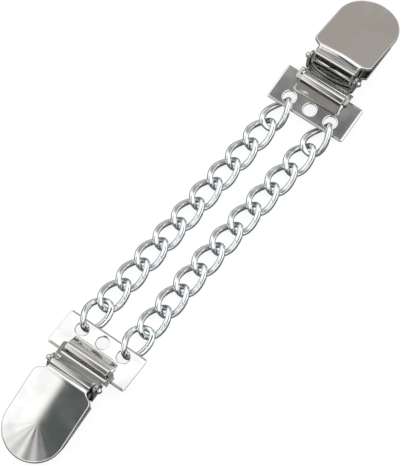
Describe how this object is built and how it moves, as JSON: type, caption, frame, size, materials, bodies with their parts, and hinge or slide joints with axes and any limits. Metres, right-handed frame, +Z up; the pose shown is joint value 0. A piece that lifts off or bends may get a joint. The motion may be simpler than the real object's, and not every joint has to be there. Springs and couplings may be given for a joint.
{
  "type": "cardigan clip",
  "caption": "Cardigan clip: toothed cam-lever clips on hinged hanger plates, joined by parallel twisted curb chains.",
  "frame": {"origin": "middle of the bounding box, on the floor that the clip lies on", "axes": "+Y from the near clip to the far clip, +Z up from the floor, +X to the right"},
  "size_m": [0.034, 0.176, 0.0116],
  "materials": {
    "clip_nickel": "polished nickel plate on stamped steel",
    "chain_nickel": "polished nickel plate on steel wire"
  },
  "bodies": {
    "far_base": {"far_back_plate": "clip_nickel", "far_pivot_pin": "clip_nickel"},
    "far_hanger": {"far_hanger_plate": "clip_nickel"},
    "far_grip": {"far_grip_plate": "clip_nickel"},
    "far_lever": {"far_lever": "clip_nickel"},
    "near_base": {"near_back_plate": "clip_nickel", "near_pivot_pin": "clip_nickel"},
    "near_hanger": {"near_hanger_plate": "clip_nickel"},
    "near_grip": {"near_grip_plate": "clip_nickel"},
    "near_lever": {"near_lever": "clip_nickel"},
    "left_link_01": {"left_link_01": "chain_nickel"},
    "left_link_02": {"left_link_02": "chain_nickel"},
    "left_link_03": {"left_link_03": "chain_nickel"},
    "left_link_04": {"left_link_04": "chain_nickel"},
    "left_link_05": {"left_link_05": "chain_nickel"},
    "left_link_06": {"left_link_06": "chain_nickel"},
    "left_link_07": {"left_link_07": "chain_nickel"},
    "left_link_08": {"left_link_08": "chain_nickel"},
    "left_link_09": {"left_link_09": "chain_nickel"},
    "left_link_10": {"left_link_10": "chain_nickel"},
    "left_link_11": {"left_link_11": "chain_nickel"},
    "right_link_01": {"right_link_01": "chain_nickel"},
    "right_link_02": {"right_link_02": "chain_nickel"},
    "right_link_03": {"right_link_03": "chain_nickel"},
    "right_link_04": {"right_link_04": "chain_nickel"},
    "right_link_05": {"right_link_05": "chain_nickel"},
    "right_link_06": {"right_link_06": "chain_nickel"},
    "right_link_07": {"right_link_07": "chain_nickel"},
    "right_link_08": {"right_link_08": "chain_nickel"},
    "right_link_09": {"right_link_09": "chain_nickel"},
    "right_link_10": {"right_link_10": "chain_nickel"},
    "right_link_11": {"right_link_11": "chain_nickel"}
  },
  "joints": [
    {"name": "far_hanger_hinge", "type": "hinge", "parent": "far_base", "child": "far_hanger", "pos_m": [0.00348, 0.05363, 0.00541], "axis": [1, 0, 0], "range_deg": [-40, 5]},
    {"name": "left_pivot_01", "type": "hinge", "parent": "far_hanger", "child": "left_link_01", "pos_m": [-0.00382, 0.04426, 0.0031], "axis": [1, 0, 0], "range_deg": [-35, 35]},
    {"name": "left_pivot_02", "type": "hinge", "parent": "left_link_01", "child": "left_link_02", "pos_m": [-0.0044, 0.03679, 0.0022], "axis": [-1, 0, 0], "range_deg": [-35, 35]},
    {"name": "left_pivot_03", "type": "hinge", "parent": "left_link_02", "child": "left_link_03", "pos_m": [-0.00505, 0.02861, 0.0022], "axis": [1, 0, 0], "range_deg": [-35, 35]},
    {"name": "left_pivot_04", "type": "hinge", "parent": "left_link_03", "child": "left_link_04", "pos_m": [-0.00569, 0.02044, 0.0022], "axis": [-1, 0, 0], "range_deg": [-35, 35]},
    {"name": "left_pivot_05", "type": "hinge", "parent": "left_link_04", "child": "left_link_05", "pos_m": [-0.00634, 0.01226, 0.0022], "axis": [1, 0, 0], "range_deg": [-35, 35]},
    {"name": "left_pivot_06", "type": "hinge", "parent": "left_link_05", "child": "left_link_06", "pos_m": [-0.00698, 0.00409, 0.0022], "axis": [-1, 0, 0], "range_deg": [-35, 35]},
    {"name": "left_pivot_07", "type": "hinge", "parent": "left_link_06", "child": "left_link_07", "pos_m": [-0.00762, -0.00409, 0.0022], "axis": [1, 0, 0], "range_deg": [-35, 35]},
    {"name": "left_pivot_08", "type": "hinge", "parent": "left_link_07", "child": "left_link_08", "pos_m": [-0.00826, -0.01226, 0.0022], "axis": [-1, 0, 0], "range_deg": [-35, 35]},
    {"name": "left_pivot_09", "type": "hinge", "parent": "left_link_08", "child": "left_link_09", "pos_m": [-0.00891, -0.02044, 0.0022], "axis": [1, 0, 0], "range_deg": [-35, 35]},
    {"name": "left_pivot_10", "type": "hinge", "parent": "left_link_09", "child": "left_link_10", "pos_m": [-0.00955, -0.02861, 0.0022], "axis": [-1, 0, 0], "range_deg": [-35, 35]},
    {"name": "left_pivot_11", "type": "hinge", "parent": "left_link_10", "child": "left_link_11", "pos_m": [-0.0102, -0.03679, 0.0022], "axis": [1, 0, 0], "range_deg": [-35, 35]},
    {"name": "left_pivot_12", "type": "hinge", "parent": "left_link_11", "child": "near_hanger", "pos_m": [-0.01078, -0.04426, 0.0031], "axis": [-1, 0, 0], "range_deg": [-35, 35]},
    {"name": "right_pivot_01", "type": "hinge", "parent": "far_hanger", "child": "right_link_01", "pos_m": [0.01078, 0.04426, 0.0031], "axis": [1, 0, 0], "range_deg": [-35, 35]},
    {"name": "right_pivot_02", "type": "hinge", "parent": "right_link_01", "child": "right_link_02", "pos_m": [0.01007, 0.03679, 0.0022], "axis": [-1, 0, 0], "range_deg": [-35, 35]},
    {"name": "right_pivot_03", "type": "hinge", "parent": "right_link_02", "child": "right_link_03", "pos_m": [0.00919, 0.02861, 0.0022], "axis": [1, 0, 0], "range_deg": [-35, 35]},
    {"name": "right_pivot_04", "type": "hinge", "parent": "right_link_03", "child": "right_link_04", "pos_m": [0.00834, 0.02044, 0.0022], "axis": [-1, 0, 0], "range_deg": [-35, 35]},
    {"name": "right_pivot_05", "type": "hinge", "parent": "right_link_04", "child": "right_link_05", "pos_m": [0.00755, 0.01226, 0.0022], "axis": [1, 0, 0], "range_deg": [-35, 35]},
    {"name": "right_pivot_06", "type": "hinge", "parent": "right_link_05", "child": "right_link_06", "pos_m": [0.00683, 0.00409, 0.0022], "axis": [-1, 0, 0], "range_deg": [-35, 35]},
    {"name": "right_pivot_07", "type": "hinge", "parent": "right_link_06", "child": "right_link_07", "pos_m": [0.00619, -0.00409, 0.0022], "axis": [1, 0, 0], "range_deg": [-35, 35]},
    {"name": "right_pivot_08", "type": "hinge", "parent": "right_link_07", "child": "right_link_08", "pos_m": [0.00562, -0.01226, 0.0022], "axis": [-1, 0, 0], "range_deg": [-35, 35]},
    {"name": "right_pivot_09", "type": "hinge", "parent": "right_link_08", "child": "right_link_09", "pos_m": [0.00513, -0.02044, 0.0022], "axis": [1, 0, 0], "range_deg": [-35, 35]},
    {"name": "right_pivot_10", "type": "hinge", "parent": "right_link_09", "child": "right_link_10", "pos_m": [0.00468, -0.02861, 0.0022], "axis": [-1, 0, 0], "range_deg": [-35, 35]},
    {"name": "right_pivot_11", "type": "hinge", "parent": "right_link_10", "child": "right_link_11", "pos_m": [0.00428, -0.03679, 0.0022], "axis": [1, 0, 0], "range_deg": [-35, 35]},
    {"name": "near_hanger_hinge", "type": "hinge", "parent": "near_hanger", "child": "near_base", "pos_m": [-0.00348, -0.05363, 0.00541], "axis": [1, 0, 0], "range_deg": [-40, 5]},
    {"name": "far_lever_pivot", "type": "hinge", "parent": "far_base", "child": "far_lever", "pos_m": [0.0029, 0.05991, 0.00807], "axis": [0.9997, 0.0224, -0.0035], "range_deg": [0, 95]},
    {"name": "far_grip_hinge", "type": "hinge", "parent": "far_base", "child": "far_grip", "pos_m": [0.00294, 0.05789, 0.00545], "axis": [0.9997, 0.0224, -0.0035], "range_deg": [0, 8]},
    {"name": "near_lever_pivot", "type": "hinge", "parent": "near_base", "child": "near_lever", "pos_m": [-0.00348, -0.05992, 0.00807], "axis": [-1, 0, 0], "range_deg": [0, 95]},
    {"name": "near_grip_hinge", "type": "hinge", "parent": "near_base", "child": "near_grip", "pos_m": [-0.00348, -0.05789, 0.00545], "axis": [-1, 0, 0], "range_deg": [0, 8]}
  ],
  "couplings": [
    {"joint": "right_pivot_01", "follows": "left_pivot_01", "ratio": 1},
    {"joint": "right_pivot_02", "follows": "left_pivot_02", "ratio": 1},
    {"joint": "right_pivot_03", "follows": "left_pivot_03", "ratio": 1},
    {"joint": "right_pivot_04", "follows": "left_pivot_04", "ratio": 1},
    {"joint": "right_pivot_05", "follows": "left_pivot_05", "ratio": 1},
    {"joint": "right_pivot_06", "follows": "left_pivot_06", "ratio": 1},
    {"joint": "right_pivot_07", "follows": "left_pivot_07", "ratio": 1},
    {"joint": "right_pivot_08", "follows": "left_pivot_08", "ratio": 1},
    {"joint": "right_pivot_09", "follows": "left_pivot_09", "ratio": 1},
    {"joint": "right_pivot_10", "follows": "left_pivot_10", "ratio": 1},
    {"joint": "right_pivot_11", "follows": "left_pivot_11", "ratio": 1},
    {"joint": "far_grip_hinge", "follows": "far_lever_pivot", "ratio": 0.08},
    {"joint": "near_grip_hinge", "follows": "near_lever_pivot", "ratio": 0.08}
  ]
}
